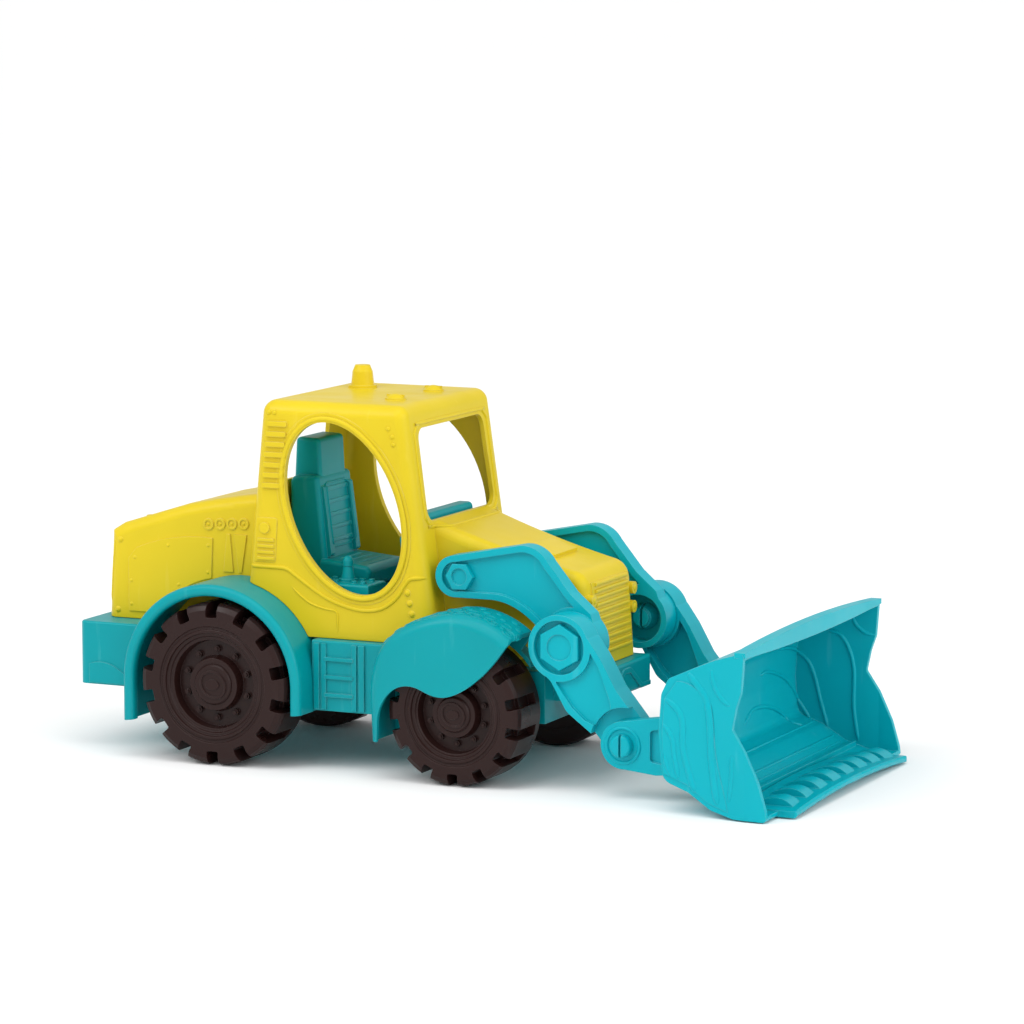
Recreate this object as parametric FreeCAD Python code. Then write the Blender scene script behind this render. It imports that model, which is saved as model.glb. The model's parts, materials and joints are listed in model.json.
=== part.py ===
"""Toy wheeled front-end loader: moulded body, two wheel sets, two-stage loader arms and a tipping bucket.

Lengths are millimetres.  While a piece is being shaped, x is measured forwards from the rear axle,
y across the toy from its middle plane (the left side is +y) and z upwards from the ground.
The finished pieces are moved back by ORIGIN_X, so the origin lies midway along the toy, on the ground.
"""
import FreeCAD, Part
import math
import os

# ---- driving dimensions ---------------------------------------------------------------------
REAR_END = -103.5            # back face of the rear bumper
FRONT_END = 364.5            # front edge of the bucket lip
ORIGIN_X = (REAR_END + FRONT_END) / 2

REAR_WHEEL_R = 47.5
FRONT_WHEEL_R = 41.3
WHEELBASE = 154.1
WHEEL_IN = 53.4              # inner face of every wheel, from the middle plane
WHEEL_OUT = 85.6             # outer face of every wheel
LUG_COUNT = 14
AXLE_R = 2.5
RUN = 0.06                   # radial clearance of a turning fit

WALL = 2.8                   # moulded wall thickness
SEAM = 0.3                   # gap between neighbouring mouldings

FRAME_BOTTOM = 33.0
DECK_Z = 75.0                # top of the chassis under the cab
NOSE_DECK_Z = 63.0           # top of the chassis under the front hood
FRAME_Y = 48.0               # half width of the chassis between the wheels
BUMPER_Y = 60.0
BUMPER_BOTTOM = 37.5
STEP_Y = 66.0
FENDER_Y = 84.0
COWL_Y = 89.5

CAB_Y = 59.0                 # half width of the cab
CAB_TOP = 212.0
CAB_FLOOR_Z = 100.0
BEACON_TOP = 225.4
CAB_REAR_FOOT, CAB_REAR_TOP = 6.0, 19.4
CAB_FRONT_FOOT, CAB_FRONT_TOP = 130.8, 110.8
HOOD_Y = 41.0                # half width of the engine cover behind the cab
NOSE_Y_REAR, NOSE_Y_FRONT = 40.0, 33.5

WINDOW = dict(x=72.7, z=151.3, a=34.2, b=51.9, tilt=23.3)   # oval side window

BOOM_PIVOT = (143.8, 115.5)  # x, z of the arm pivot on the front hood
ELBOW = (214.6, 82.2)
TIP_PIVOT = (255.0, 30.0)    # bucket pivot
BOOM_SHAFT_R = 3.0
ELBOW_PIN_R = 5.0
TIP_PIN_R = 4.5
UPPER_IN, UPPER_OUT = 42.0, 53.4
LOWER_IN, LOWER_OUT = 57.4, 73.6
EAR_IN, EAR_OUT = 68.2, 75.6

BUCKET_Y = 108.5             # half width at the mouth
BUCKET_BACK_Y = 101.0        # half width at the back


# ---- small helpers ---------------------------------------------------------------------------
def vec(x, y, z):
    return FreeCAD.Vector(x, y, z)


def box(x0, x1, y0, y1, z0, z1):
    return Part.makeBox(x1 - x0, y1 - y0, z1 - z0, vec(x0, y0, z0))


def rod(centre, radius, y0, y1):
    """Cylinder along y whose axis passes through centre (x, z)."""
    return Part.makeCylinder(radius, y1 - y0, vec(centre[0], y0, centre[1]), vec(0, 1, 0))


def post(x, y, radius, z0, z1):
    return Part.makeCylinder(radius, z1 - z0, vec(x, y, z0))


def ball(x, y, z, radius):
    return Part.makeSphere(radius, vec(x, y, z))


def hexagon(centre, radius, y0, y1):
    """Hexagonal bar along y with two corners up and down."""
    points = [vec(centre[0] + radius * math.sin(math.radians(60 * i)), y0,
                  centre[1] + radius * math.cos(math.radians(60 * i))) for i in range(7)]
    return Part.Face(Part.makePolygon(points)).extrude(vec(0, y1 - y0, 0))


def fused(shapes):
    shapes = list(shapes)
    if len(shapes) == 1:
        return shapes[0]
    return shapes[0].multiFuse(shapes[1:]).removeSplitter()


def mirrored(shape):
    return shape.mirror(vec(0, 0, 0), vec(0, 1, 0))


def both_sides(shape):
    return [shape, mirrored(shape)]


def outline(path, y=0.0):
    """Closed wire in the side plane.

    A step (x, z) is a straight line to that point, a step (via, end) is an arc, and a list of
    points is a smooth curve through them.
    """
    place = lambda point: vec(point[0], y, point[1])
    edges = []
    here = path[0]
    for step in path[1:] + [path[0]]:
        if isinstance(step, list):
            curve = Part.BSplineCurve()
            curve.interpolate([place(point) for point in [here] + step])
            edges.append(curve.toShape())
            here = step[-1]
        elif isinstance(step[0], tuple):
            edges.append(Part.Arc(place(here), place(step[0]), place(step[1])).toShape())
            here = step[1]
        elif math.dist(here, step) > 1e-6:
            edges.append(Part.LineSegment(place(here), place(step)).toShape())
            here = step
    return Part.Wire(edges)


def rounded(corners):
    """Path round the corners (x, z, r), each one turned by an arc of radius r."""
    path = []
    for i, (x, z, radius) in enumerate(corners):
        if radius == 0:
            path.append((x, z))
            continue
        before, after = corners[i - 1], corners[(i + 1) % len(corners)]
        to_before = vec(before[0] - x, 0, before[1] - z).normalize()
        to_after = vec(after[0] - x, 0, after[1] - z).normalize()
        half = to_before.getAngle(to_after) / 2
        inward = (to_before + to_after).normalize()
        corner = vec(x, 0, z)
        start = corner + to_before * (radius / math.tan(half))
        end = corner + to_after * (radius / math.tan(half))
        via = corner + inward * (radius / math.sin(half) - radius)
        path += [(start.x, start.z), ((via.x, via.z), (end.x, end.z))]
    return path


def plate(path, y0, y1, grow=0.0):
    """Solid with the given side outline between two y values, its outline grown by an offset."""
    face = Part.Face(outline(path, y0))
    if grow:
        face = face.makeOffset2D(grow, join=0)
    return face.extrude(vec(0, y1 - y0, 0))


def plan_prism(points, z0, z1):
    """Upright prism with the given plan corners (x, y)."""
    wire = Part.makePolygon([vec(x, y, z0) for x, y in points + points[:1]])
    return Part.Face(wire).extrude(vec(0, 0, z1 - z0))


def front_prism(corners, x0, x1):
    """Prism along x whose cross-section has the rounded corners (y, z, r)."""
    turned = plate(rounded(corners), 0, x1 - x0)
    turned.rotate(vec(0, 0, 0), vec(0, 0, 1), -90)
    turned = turned.mirror(vec(0, 0, 0), vec(0, 1, 0))
    turned.translate(vec(x0, 0, 0))
    return turned


def eased(shape, radius, wanted):
    """Round the edges for which wanted(edge) is true."""
    return shape.makeFillet(radius, [edge for edge in shape.Edges if wanted(edge)])


def oval(shape_of, grow=0.0, count=36):
    """Closed smooth outline of a tilted oval, as start point and curve."""
    tilt = math.radians(shape_of["tilt"])
    points = []
    for i in range(count + 1):
        turn = 2 * math.pi * i / count
        u = (shape_of["a"] + grow) * math.cos(turn)
        w = (shape_of["b"] + grow) * math.sin(turn)
        points.append(vec(shape_of["x"] + u * math.cos(tilt) - w * math.sin(tilt), 0,
                          shape_of["z"] + u * math.sin(tilt) + w * math.cos(tilt)))
    curve = Part.BSplineCurve()
    curve.interpolate(points[:-1], PeriodicFlag=True)
    return Part.Wire([curve.toShape()])


def oval_plate(shape_of, y0, y1, grow=0.0):
    wire = oval(shape_of, grow)
    wire.translate(vec(0, y0, 0))
    return Part.Face(wire).extrude(vec(0, y1 - y0, 0))


def revolved(path):
    """Solid of revolution about y; the path holds (radius, y) corners."""
    points = [vec(r, y, 0) for r, y in path + path[:1]]
    return Part.Face(Part.makePolygon(points)).revolve(vec(0, 0, 0), vec(0, 1, 0), 360)


# ---- wheels and axles ------------------------------------------------------------------------
WHEEL_WIDTH = WHEEL_OUT - WHEEL_IN
SOCKET_R = 9.0               # tube round the axle inside a wheel
CAP_R = 0.25                 # hub cap radius as a share of the wheel radius
TREAD = 0.175                # depth of the tread notches as a share of the wheel radius


def drum_radius(radius):
    """Radius of the hollow inside a wheel, one wall below the tread notches."""
    return radius * (1 - TREAD) - WALL


def wheel_at_origin(radius):
    """Wheel with its inner face at y = 0 and its outer face at y = WHEEL_WIDTH."""
    w = WHEEL_WIDTH
    face_r, dish_r, hub_r, cap_r = (radius * k for k in (0.70, 0.53, 0.32, CAP_R))
    notch_depth, inside_r = TREAD * radius, drum_radius(radius)
    dish_y = w - 8.5
    shoulder = 4.0
    body = revolved([
        (AXLE_R, 0), (SOCKET_R, 0), (SOCKET_R, dish_y - WALL), (face_r - 2, dish_y - WALL),
        (face_r - 2, w - 4), (inside_r - 2.5, w - 4), (inside_r, w - 7), (inside_r, 0),
        (radius - 1.6, 0), (radius, 2.2), (radius, w - shoulder), (radius - 1.2, w - 1.6),
        (radius - shoulder, w), (face_r + 1.2, w), (face_r + 0.6, w - 0.9), (face_r - 0.6, w - 0.9),
        (face_r - 1.2, w - 0.2), (face_r - 2.6, w - 0.2), (face_r - 3.2, w - 1.6),
        (face_r - 4.6, w - 1.6), (face_r - 5.4, w - 2.8), (dish_r + 1, w - 2.8), (dish_r, dish_y),
        (hub_r + 1.4, dish_y), (hub_r, w - 2.4), (cap_r, w - 2.4), (cap_r, w - 6.0), (AXLE_R, w - 6.0)])
    notch_w, notch_len = 0.155 * radius, 0.78 * w
    floor_r = radius - notch_depth
    notch = box(-notch_w / 2, notch_w / 2, w - notch_len, w + 1, floor_r, radius + 2)
    step = box(-notch_w / 2, notch_w / 2, w - notch_len - 1, w - notch_len / 2, floor_r - 1, floor_r + 2.4)
    notch = eased(notch, 1.2, lambda edge: edge.BoundBox.YLength > notch_len - 1
                  and edge.BoundBox.ZMax < radius).cut(step)
    pitch = 360.0 / LUG_COUNT
    notches = []
    for i in range(LUG_COUNT):
        turned = notch.copy()
        turned.rotate(vec(0, 0, 0), vec(0, 1, 0), pitch * i)
        notches.append(turned)
    body = body.cut(notches)
    bolts = []
    for i in range(10):
        turn = math.radians(36 * i + 18)
        spot = (0.425 * radius * math.cos(turn), 0.425 * radius * math.sin(turn))
        bolts.append(rod(spot, 0.042 * radius, dish_y - 0.5, dish_y + 2.0))
        bolts.append(rod(spot, 0.024 * radius, dish_y + 1.5, dish_y + 3.0))
    body = fused([body] + bolts)
    return body


def wheel_back_at_origin(radius):
    """Ribbed disc that closes the inner side of a wheel."""
    edge_r = drum_radius(radius)
    disc = revolved([(SOCKET_R, 0.4), (edge_r, 0.4), (edge_r, 2.8), (SOCKET_R, 2.8)])
    ribs = []
    for i in range(6):
        rib = box(-1.0, 1.0, 2.6, 7.0, SOCKET_R + 0.5, edge_r - 0.8)
        rib.rotate(vec(0, 0, 0), vec(0, 1, 0), 60 * i)
        ribs.append(rib)
    return fused([disc] + ribs)


def hub_cap_at_origin(radius):
    """Press-in hub cap with a raised egg-shaped ring."""
    w, cap_r = WHEEL_WIDTH, CAP_R * radius
    disc = revolved([(0, w - 6.0), (cap_r, w - 6.0), (cap_r, w - 1.9), (cap_r - 0.9, w - 1.0), (0, w - 1.0)])
    egg = dict(x=0.01 * radius, z=0, a=0.19 * radius, b=0.165 * radius, tilt=-35)
    ring = oval_plate(egg, w - 1.2, w - 0.1).cut(oval_plate(egg, w - 2, w + 1, -0.028 * radius))
    heart = dict(x=0, z=0, a=0.095 * radius, b=0.065 * radius, tilt=0)
    return fused([disc, ring, oval_plate(heart, w - 1.2, w - 0.3)])


def wheel_set(prefix, axle_x, radius):
    """Axle, wheels, wheel backs and hub caps turning together about one axis."""
    nodes = {prefix + "_axle": rod((axle_x, radius), AXLE_R, -WHEEL_OUT + 6.0, WHEEL_OUT - 6.0)}
    makers = (("wheel", wheel_at_origin), ("wheel_back", wheel_back_at_origin), ("hub_cap", hub_cap_at_origin))
    for name, maker in makers:
        left = maker(radius)
        left.translate(vec(axle_x, WHEEL_IN, radius))
        nodes[prefix + "_" + name + "_left"] = left
        nodes[prefix + "_" + name + "_right"] = mirrored(left)
    return nodes


# ---- chassis ---------------------------------------------------------------------------------
FRAME_REAR, FRAME_NOSE = -60.0, 195.0
DECK_STEP_X = 131.5          # where the deck drops in front of the cab
NOSE_END = 225.0
FENDER_CENTRE = (-2.0, REAR_WHEEL_R)
FENDER_OUT_R = 58.2
FENDER_IN_R = 55.2
FENDER_LIP_R = 51.3
STEP_X0, STEP_X1 = 55.5, 102.0
SCREW_R = 1.6
BODY_SCREWS = ((-72.0, DECK_Z), (178.0, NOSE_DECK_Z))      # x and deck height, at SCREW_Y each side
SCREW_Y = 22.0
BASE_SCREWS = ((-40.0, 30.0), (75.0, 30.0), (182.0, 30.0))


def deck_height(x):
    return DECK_Z if x < DECK_STEP_X else NOSE_DECK_Z


def chassis_frame():
    """Chassis tub: frame box, rear bumper, side steps and front bumper, open underneath."""
    frame_path = [(FRAME_REAR, FRAME_BOTTOM), (FRAME_NOSE, FRAME_BOTTOM), (FRAME_NOSE, NOSE_DECK_Z),
                  (DECK_STEP_X, NOSE_DECK_Z), (DECK_STEP_X, DECK_Z), (FRAME_REAR, DECK_Z)]
    frame = plate(frame_path, -FRAME_Y, FRAME_Y)
    bumper = eased(box(REAR_END + 0.8, FRAME_REAR, -BUMPER_Y, BUMPER_Y, BUMPER_BOTTOM, DECK_Z), 5.0,
                   lambda edge: edge.BoundBox.ZLength > 30 and edge.BoundBox.XMax < FRAME_REAR - 1)
    bumper = eased(bumper, 1.5, lambda edge: edge.BoundBox.ZMin > DECK_Z - 0.1
                   and edge.BoundBox.XMax < FRAME_REAR + 0.1 and edge.BoundBox.XMin < FRAME_REAR - 1)
    nose = eased(box(FRAME_NOSE, NOSE_END, -36, 36, 44.7, NOSE_DECK_Z), 1.8,
                 lambda edge: edge.BoundBox.XMin > NOSE_END - 0.1)
    shell = fused([frame, bumper, nose])
    hollow = fused([
        box(FRAME_REAR + WALL, FRAME_NOSE - WALL, WALL - FRAME_Y, FRAME_Y - WALL, FRAME_BOTTOM - 1,
            NOSE_DECK_Z - WALL),
        box(FRAME_REAR + WALL, DECK_STEP_X - WALL, WALL - FRAME_Y, FRAME_Y - WALL, NOSE_DECK_Z - WALL - 1,
            DECK_Z - WALL),
        box(REAR_END + WALL, FRAME_REAR + WALL, WALL - BUMPER_Y + 6, BUMPER_Y - 6 - WALL, BUMPER_BOTTOM + WALL,
            DECK_Z - WALL),
        box(FRAME_NOSE - WALL - 1, NOSE_END - WALL, WALL - 36, 36 - WALL, 44.7 + WALL, NOSE_DECK_Z - WALL)])
    shell = shell.cut(hollow)
    axles = ((0.0, REAR_WHEEL_R), (WHEELBASE, FRONT_WHEEL_R))
    bosses = [rod(axle, 5.0, FRAME_Y - 9, WHEEL_IN - 0.6) for axle in axles]
    ribs = [box(x - 1.2, x + 1.2, 1 - FRAME_Y, FRAME_Y - 1, 50, top)
            for x, top in ((-28.0, DECK_Z - 1), (28.0, DECK_Z - 1), (122.0, DECK_Z - 1))]
    pillars = [post(x, SCREW_Y * side, 5.0, 52, top - 1) for x, top in BODY_SCREWS for side in (-1, 1)]
    base_posts = [post(x, y * side, 4.5, FRAME_BOTTOM + WALL, deck_height(x) - 1) for x, y in BASE_SCREWS
                  for side in (-1, 1)]
    side_parts = fused([step_panel()] + bosses)
    shell = fused([shell] + both_sides(side_parts) + ribs + pillars + base_posts + bumper_relief())
    holes = [rod(axle, AXLE_R + RUN, -WHEEL_IN, WHEEL_IN) for axle in axles]
    holes += [post(x, SCREW_Y * side, SCREW_R, 40, top + 1) for x, top in BODY_SCREWS for side in (-1, 1)]
    holes += [post(x, SCREW_Y * side, 3.6, 40, top - 6) for x, top in BODY_SCREWS for side in (-1, 1)]
    holes += [post(x, y * side, SCREW_R, FRAME_BOTTOM, FRAME_BOTTOM + 16) for x, y in BASE_SCREWS
              for side in (-1, 1)]
    return shell.cut(holes)


def step_panel():
    """Left-hand side step: a hollow box with two posts and three treads on its face."""
    z0, z1 = 34.0, DECK_Z
    panel = box(STEP_X0, STEP_X1, FRAME_Y - 1, STEP_Y, z0, z1)
    panel = panel.cut(box(STEP_X0 + WALL, STEP_X1 - WALL, FRAME_Y, STEP_Y - WALL, z0 + WALL, z1 - WALL))
    panel = eased(panel, 1.2, lambda edge: edge.BoundBox.ZMin > z1 - 0.1 and edge.BoundBox.YMin > STEP_Y - 0.1)
    posts = [box(x0, x1, STEP_Y - 0.5, STEP_Y + 1.2, z0 + 1, z1 - 1.5)
             for x0, x1 in ((57.0, 60.5), (62.0, 65.0), (81.5, 84.5), (86.0, 89.5))]
    treads = [box(64.0, 82.5, STEP_Y - 0.5, STEP_Y + 1.6, z - 1.1, z + 1.1) for z in (43.5, 54.0, 64.5)]
    return fused([panel] + posts + treads)


def bumper_relief():
    """Wavy raised lip low on the rear bumper and a shallow V on the front one."""
    wave = [(REAR_END + 8, 38.5), (FRAME_REAR - 1, 38.5), (FRAME_REAR - 1, 44.5),
            [(-70.0, 44.0), (-79.0, 49.0), (-88.0, 51.0), (REAR_END + 8, 49.5)]]
    side = plate(wave, BUMPER_Y - 0.5, BUMPER_Y + 1.0)
    back = front_prism([(-52, 40, 2), (52, 40, 2), (52, 49, 4), (20, 53, 20), (-20, 53, 20), (-52, 49, 4)],
                       REAR_END, REAR_END + 1.5)
    vee = front_prism([(-34, 45.5, 0), (-20, 45.5, 0), (-4, 57, 6), (4, 57, 6), (20, 45.5, 0), (34, 45.5, 0),
                       (34, 48, 0), (22, 48, 2), (5, 60, 7), (-5, 60, 7), (-22, 48, 2), (-34, 48, 0)],
                      NOSE_END - 0.5, NOSE_END + 0.8)
    return both_sides(side) + [back, vee]


def base_plate():
    """Flat cover that closes the chassis from below."""
    gap = 0.2
    cover = box(FRAME_REAR + WALL + gap, FRAME_NOSE - WALL - gap, -FRAME_Y + WALL + gap, FRAME_Y - WALL - gap,
                FRAME_BOTTOM, FRAME_BOTTOM + WALL)
    holes = [post(x, y * side, SCREW_R, FRAME_BOTTOM - 1, FRAME_BOTTOM + 5) for x, y in BASE_SCREWS
             for side in (-1, 1)]
    holes += [post(x, y * side, 3.4, FRAME_BOTTOM - 1, FRAME_BOTTOM + 1.6) for x, y in BASE_SCREWS
              for side in (-1, 1)]
    return cover.cut(holes)


def screw(x, y, z_head, length):
    """Pan-head screw pointing up, with the underside of its head at z_head."""
    head = post(x, y, 3.2, z_head - 1.6, z_head)
    slot = box(x - 0.5, x + 0.5, y - 2.2, y + 2.2, z_head - 2, z_head - 0.9)
    cross = box(x - 2.2, x + 2.2, y - 0.5, y + 0.5, z_head - 2, z_head - 0.9)
    return fused([head, post(x, y, SCREW_R, z_head - 0.5, z_head + length)]).cut([slot, cross])


def body_screws():
    return Part.makeCompound([screw(x, SCREW_Y * side, top - 6, 20) for x, top in BODY_SCREWS
                              for side in (-1, 1)])


def base_screws():
    return Part.makeCompound([screw(x, y * side, FRAME_BOTTOM + 1.6, 14) for x, y in BASE_SCREWS
                              for side in (-1, 1)])


# ---- mudguards -------------------------------------------------------------------------------
def arch_path(radius, rear_foot, front_foot):
    """Arch over the rear wheel with straight legs down to the two foot heights."""
    x, z = FENDER_CENTRE
    return [(x - radius, rear_foot), (x - radius, z), ((x, z + radius), (x + radius, z)), (x + radius, front_foot)]


def rear_fender():
    """Left rear mudguard: thin arch with a thicker rolled outer lip."""
    outer = arch_path(FENDER_OUT_R, 22.0, FRAME_BOTTOM)
    skin = plate(outer, HOOD_Y + 0.5, FENDER_Y).cut(plate(arch_path(FENDER_IN_R, 0, 0), HOOD_Y, FENDER_Y + 1))
    lip = plate(outer, FENDER_Y - 6, FENDER_Y).cut(plate(arch_path(FENDER_LIP_R, 0, 0), 0, FENDER_Y + 1))
    fender = fused([skin, lip])
    fender = eased(fender, 3.0, lambda edge: edge.BoundBox.YMin > FENDER_Y - 0.1
                   and edge.BoundBox.XLength > 100)
    frame = box(FRAME_REAR - 50, STEP_X1, 0, FRAME_Y, 0, DECK_Z + SEAM)
    return fender.cut([frame, box(REAR_END, FRAME_REAR, 0, BUMPER_Y, 0, DECK_Z + SEAM),
                       box(STEP_X0, STEP_X1, 0, STEP_Y, 0, DECK_Z)])


COWL_FRONT_X = 189.7         # straight front end of the front mudguard
COWL_CROWN = [(103.4, 62.0), (112.0, 81.0), (124.5, 90.6), (140.0, 96.8), (156.0, 99.4), (172.0, 96.8),
              (COWL_FRONT_X, 87.4)]
COWL_SKIRT = [(183.5, 75.4), (176.0, 66.9), (166.0, 58.5), (157.5, 53.6), (149.5, 51.5), (141.0, 52.8),
              (133.0, 55.9), (122.0, 55.4), (115.0, 50.4), (110.5, 42.9), (108.6, 32.0)]
COWL_OUTLINE = [(103.5, 22.7), (102.2, 46.0), COWL_CROWN, (COWL_FRONT_X, 84.0), COWL_SKIRT, (108.0, 22.7)]
COWL_HOLLOW = [(105.0, 46.0), [(106.3, 62.0), (114.4, 79.4), (125.8, 87.9), (140.6, 93.8), (155.8, 96.4),
                               (171.2, 93.9), (COWL_FRONT_X + 3, 82.9)], (COWL_FRONT_X + 3, 15.0), (105.0, 15.0)]
COWL_IN = 55.2               # inner edge of the front mudguard's dome
ARCH_LINER_R = FRONT_WHEEL_R + 2.6


def front_fender():
    """Left front mudguard: a domed cowl hanging over the wheel, on a bracket from the chassis."""
    axle = (WHEELBASE, FRONT_WHEEL_R)
    dome = plate(COWL_OUTLINE, COWL_IN, COWL_Y)
    dome = eased(dome, 7.0, lambda edge: edge.BoundBox.YMin > COWL_Y - 0.1 and edge.BoundBox.ZMax > 90)
    hollow = plate(COWL_HOLLOW, COWL_IN - 1, WHEEL_OUT + 1.3)
    hollow = eased(hollow, 4.5, lambda edge: edge.BoundBox.YMin > WHEEL_OUT + 1.2 and edge.BoundBox.ZMax > 90)
    cheek = plate(COWL_OUTLINE, COWL_IN, COWL_IN + 2.4).cut(rod(axle, ARCH_LINER_R, 0, COWL_Y))
    dome = dome.cut(hollow)
    liner = rod(axle, ARCH_LINER_R + 2.4, FRAME_Y, COWL_IN + 2.4).cut(rod(axle, ARCH_LINER_R, 0, COWL_Y))
    liner = liner.cut([box(0, 300, 0, 100, -10, 52.0), box(190, 300, 0, 100, 0, 200)])
    cowl = fused([dome, cheek, liner])
    cab_corner = cab_block(-SEAM, 60.0)
    return cowl.cut([cab_corner, box(STEP_X0, STEP_X1, 0, STEP_Y + 2, 0, DECK_Z)])


# ---- yellow body shell -----------------------------------------------------------------------
def cab_block(inset, floor):
    """Cab volume, drawn in by inset on every face; its open foot is at height floor."""
    def edge_x(foot, top, z):
        return foot + (top - foot) * (z - DECK_Z) / (CAB_TOP - DECK_Z)
    y, top = CAB_Y - inset, CAB_TOP - inset
    path = [(edge_x(CAB_REAR_FOOT, CAB_REAR_TOP, floor) + inset, floor),
            (edge_x(CAB_FRONT_FOOT, CAB_FRONT_TOP, floor) - inset, floor),
            (edge_x(CAB_FRONT_FOOT, CAB_FRONT_TOP, top) - inset, top),
            (edge_x(CAB_REAR_FOOT, CAB_REAR_TOP, top) + inset, top)]
    block = plate(path, -y, y)
    block = eased(block, 7.0 - inset * 0.8, lambda edge: edge.BoundBox.ZLength > 50)
    return eased(block, 8.0 - inset, lambda edge: edge.BoundBox.ZMin > top - 0.1)


def rear_hood_block(inset, floor):
    """Engine cover volume; only its outer surface has the bevelled rear shoulder."""
    y = HOOD_Y - inset
    if inset:
        top = [(-91.0 + inset, 129.0 - inset), ((-41.2, 145.3 - inset), (14.0, 154.8 - inset))]
    else:
        top = [(-91.7, 127.3), (-84.2, 131.8), (-41.2, 145.3), ((-12.0, 151.0), (14.0, 154.8))]
    path = [(-94.2 + inset, floor)] + top + [(14.0, floor)]
    block = plate(path, -y, y)
    return eased(block, 7.0 - inset, lambda edge: edge.BoundBox.YLength < 0.01 and edge.BoundBox.ZMax > floor + 5
                 and edge.BoundBox.XMin < 10 and abs(edge.BoundBox.YMax) > y - 0.01)


def front_hood_block(inset, floor):
    path = [(112.0, floor), (217.2 - inset, floor), (214.0 - inset, 109.0 - inset),
            ((211.2 - inset, 115.6 - inset), (204.0 - inset, 119.5 - inset)),
            ((167.0, 129.2 - inset), (112.0, 148.0 - inset))]
    block = plate(path, -60, 60)
    y0, y1 = NOSE_Y_REAR - inset, NOSE_Y_FRONT - inset
    block = block.common(plan_prism([(112, -y0), (218, -y1), (218, y1), (112, y0)], 0, 300))
    return eased(block, 7.0 - inset, lambda edge: edge.BoundBox.XLength > 60 and edge.BoundBox.ZMin > 100)


def body_shell():
    """One hollow moulding: cab with windows, engine cover behind it and hood in front."""
    cab = cab_block(0, DECK_Z + SEAM)
    rear = rear_hood_block(0, DECK_Z + SEAM)
    nose = front_hood_block(0, NOSE_DECK_Z + SEAM).cut(box(100, DECK_STEP_X + SEAM, -60, 60, 0, DECK_Z + SEAM))
    shell = fused([cab, rear, nose])
    shell = shell.cut([cab_block(WALL, DECK_Z - 5), rear_hood_block(WALL, DECK_Z - 5).cut(cab),
                       front_hood_block(WALL, NOSE_DECK_Z - 5).cut(cab)])
    shell = fused([shell] + roof_parts() + screw_towers() + pivot_bosses() + side_relief() + hood_relief())
    shaft = rod(BOOM_PIVOT, BOOM_SHAFT_R + RUN, -60, 60)
    side_window = oval_plate(WINDOW, -80, 80)
    arch = plate(arch_path(FENDER_OUT_R, 0, 0), HOOD_Y + 0.2, 100, grow=SEAM)
    cowl_gap = rod((WHEELBASE, FRONT_WHEEL_R), ARCH_LINER_R + 2.4 + SEAM, FRAME_Y - SEAM, CAB_Y + 5)
    pilots = [post(x, SCREW_Y * side, SCREW_R, top - 1, top + 16) for x, top in BODY_SCREWS for side in (-1, 1)]
    return shell.cut([shaft, side_window, windshield(), rear_window(), arch, mirrored(arch), cowl_gap,
                      mirrored(cowl_gap)] + pilots)


def windshield():
    """Rounded opening through the front wall of the cab."""
    y, z0, z1 = 45.5, 144.6, 198.0
    return front_prism([(-y, z0, 7), (y, z0, 7), (y - 1.5, z1, 7), (-y + 1.5, z1, 7)], 100, 140)


def rear_window():
    """Rounded opening through the rear wall of the cab, above the engine cover."""
    y, z0, z1 = 29.5, 161.0, 196.0
    return front_prism([(-y, z0, 6), (y, z0, 6), (y - 1.0, z1, 6), (-y + 1.0, z1, 6)], 0, 30)


def roof_parts():
    """Beacon, two lamps, and a raised panel on the roof."""
    spot = (42.7, 27.0)
    beacon = [post(*spot, 8.6, CAB_TOP - 1, CAB_TOP + 1.6),
              Part.makeCone(7.0, 6.0, 8.6, vec(*spot, CAB_TOP + 1.0)),
              Part.makeCone(6.0, 4.4, BEACON_TOP - CAB_TOP - 9.6, vec(*spot, CAB_TOP + 9.6))]
    parts = [fused(beacon)]
    for side in (-1, 1):
        lamp = [post(90.0, 25.4 * side, 6.2, CAB_TOP - 1, CAB_TOP + 1.0)]
        lamp.append(ball(90.0, 25.4 * side, CAB_TOP - 4.0, 7.6))
        lamp.append(box(84.6, 95.4, 25.4 * side - 0.8, 25.4 * side + 0.8, CAB_TOP, CAB_TOP + 3.2))
        parts.append(fused(lamp).common(box(80, 100, -40, 40, CAB_TOP - 1, CAB_TOP + 6)))
    return parts


def screw_towers():
    towers = []
    for x, deck in BODY_SCREWS:
        for side in (-1, 1):
            towers.append(post(x, SCREW_Y * side, 4.6, deck + SEAM, 125.0 if x > 0 else 135.0))
    return towers


def pivot_bosses():
    return both_sides(rod(BOOM_PIVOT, 8.0, 30.0, UPPER_IN - 0.3))


def side_relief():
    """Raised details of the left cab wall and their mirror images."""
    y0, y1 = CAB_Y - 0.6, CAB_Y + 1.0
    parts = [oval_plate(WINDOW, y0, y1, 3.4), oval_plate(WINDOW, y0, y1 - 0.6, 5.6)]
    slats = [(20.0 + 0.10 * (z - 160), z) for z in range(161, 202, 6)]
    for x, z in slats:
        parts.append(plate(rounded([(x, z, 0.8), (x + 13, z, 0.8), (x + 13, z + 3.0, 0.8), (x, z + 3.0, 0.8)]),
                           y0, y1 + 0.4))
    parts.append(plate(rounded([(14.5, 117.5, 1.5), (28.5, 117.5, 1.5), (30.0, 143.5, 1.5), (16.5, 143.5, 1.5)]),
                       y0, y1 - 0.5))
    parts.append(rod((22.0, 137.5), 3.2, y0, y1 + 0.9))
    parts += [box(17.0 + 0.1 * i, 28.0, y0, y1 + 0.4, 118.8 + 3.6 * i, 120.6 + 3.6 * i) for i in range(4)]
    rivets = ((113.5, 104.8), (114.8, 98.8), (116.2, 92.8))
    parts += [ball(x, CAB_Y - 0.8, z, 2.2) for x, z in rivets]
    return both_sides(fused(parts))


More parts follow.
